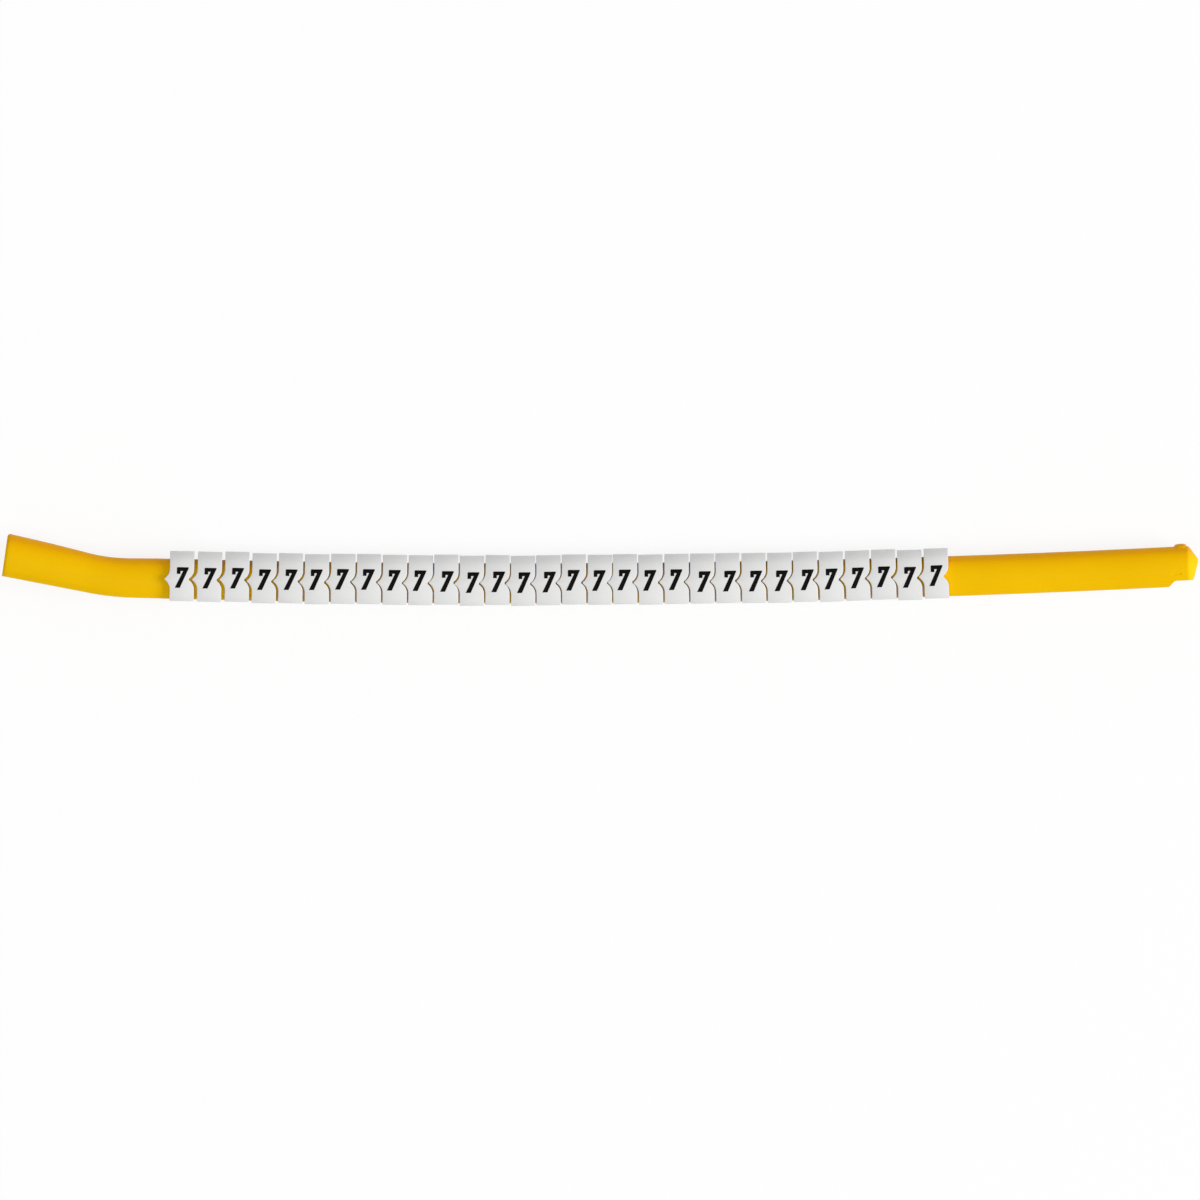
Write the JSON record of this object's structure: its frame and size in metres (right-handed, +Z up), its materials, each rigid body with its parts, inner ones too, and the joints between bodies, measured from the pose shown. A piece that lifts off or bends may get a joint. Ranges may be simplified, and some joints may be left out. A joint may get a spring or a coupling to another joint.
{
  "type": "cable marker",
  "caption": "Grooved plastic wand with a bent, flared cable mouth and a closed nose, carrying a row of clip-on chevron markers that each show a digit.",
  "frame": {"origin": "bottom centre of the loaded wand's box, on the surface that it lies on", "axes": "+X along the wand from its mouth to its nose, +Y towards the wand's spine, +Z up, out of the legend faces"},
  "size_m": [0.1848, 0.0112, 0.0072],
  "materials": {
    "wand": "satin yellow",
    "marker": "satin white"
  },
  "bodies": {
    "root": {"wand": "wand", "marker_01": "marker", "marker_02": "marker", "marker_03": "marker", "marker_04": "marker", "marker_05": "marker", "marker_06": "marker", "marker_07": "marker", "marker_08": "marker", "marker_09": "marker", "marker_10": "marker", "marker_11": "marker", "marker_12": "marker", "marker_13": "marker", "marker_14": "marker", "marker_15": "marker", "marker_16": "marker", "marker_17": "marker", "marker_18": "marker", "marker_19": "marker", "marker_20": "marker", "marker_21": "marker", "marker_22": "marker", "marker_23": "marker", "marker_24": "marker", "marker_25": "marker", "marker_26": "marker", "marker_27": "marker", "marker_28": "marker", "marker_29": "marker", "marker_30": "marker"}
  },
  "joints": []
}
